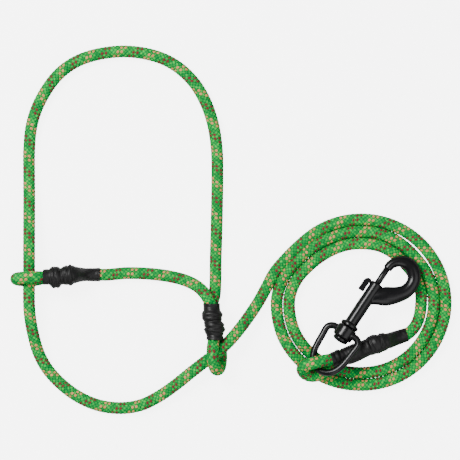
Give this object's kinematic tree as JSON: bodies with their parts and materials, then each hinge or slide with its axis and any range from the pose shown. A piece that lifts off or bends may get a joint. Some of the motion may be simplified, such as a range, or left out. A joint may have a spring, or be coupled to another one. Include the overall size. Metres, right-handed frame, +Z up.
{
  "type": "head halter",
  "caption": "Rope head halter with neck loop, nose band and chin strap, its coiled lead ending in a bolt snap that swivels and has a sliding spring bolt.",
  "frame": {"origin": "on the ground, in the middle of the halter's outline seen from above, with the lead, coil and snap left out", "axes": "+Z up from the ground it lies on, +Y from the chin strap to the crown along the halter's longest side, +X towards the lead"},
  "size_m": [0.3606, 0.3016, 0.0329],
  "materials": {
    "rope": "braided, green with tan and brown-red flecks",
    "sleeve": "satin heat-shrink",
    "ring": "crimped, under the sleeves",
    "snap": "satin black over cast zinc",
    "spring": "bright wire"
  },
  "bodies": {
    "halter": {"noseband_rope": "rope", "right_eye_rope": "rope", "right_cheek_rope": "rope", "crown_rope": "rope", "left_cheek_rope": "rope", "chin_rope": "rope", "lead_rope": "rope", "lead_coil": "rope", "lead_end_rope": "rope", "snap_loop_rope": "rope", "right_shrink_sleeve": "sleeve", "right_upper_crimp_ring": "ring", "right_lower_crimp_ring": "ring", "snap_shrink_sleeve": "sleeve", "snap_outer_crimp_ring": "ring", "snap_inner_crimp_ring": "ring"},
    "left_eye": {"left_eye_rope": "rope", "left_shrink_sleeve": "sleeve", "left_outer_crimp_ring": "ring", "left_inner_crimp_ring": "ring"},
    "eye": {"swivel_eye": "snap"},
    "snap": {"snap_body": "snap", "swivel_rivet": "snap", "bolt_spring": "spring"},
    "bolt": {"bolt_rod": "snap", "thumb_tab": "snap"}
  },
  "joints": [
    {"name": "noseband_slide", "type": "slide", "parent": "halter", "child": "left_eye", "axis": [0, 1, 0], "range_m": [-0.015, 0.015]},
    {"name": "eye_tilt", "type": "hinge", "parent": "halter", "child": "eye", "pos_m": [0.1605, -0.1124, 0.0217], "axis": [0.5532, -0.6632, 0.5042], "range_deg": [0, 90]},
    {"name": "snap_swivel", "type": "hinge", "parent": "eye", "child": "snap", "pos_m": [0.1878, -0.078, 0.0202], "axis": [-0.553, -0.8292, 0.0819], "range_deg": [0, 180]},
    {"name": "bolt_slide", "type": "slide", "parent": "snap", "child": "bolt", "axis": [-0.553, -0.8292, 0.0819], "range_m": [0, 0.0125], "stiffness_N_per_m": 500, "springref_m": -0.004, "deforming": ["bolt_spring"]}
  ]
}
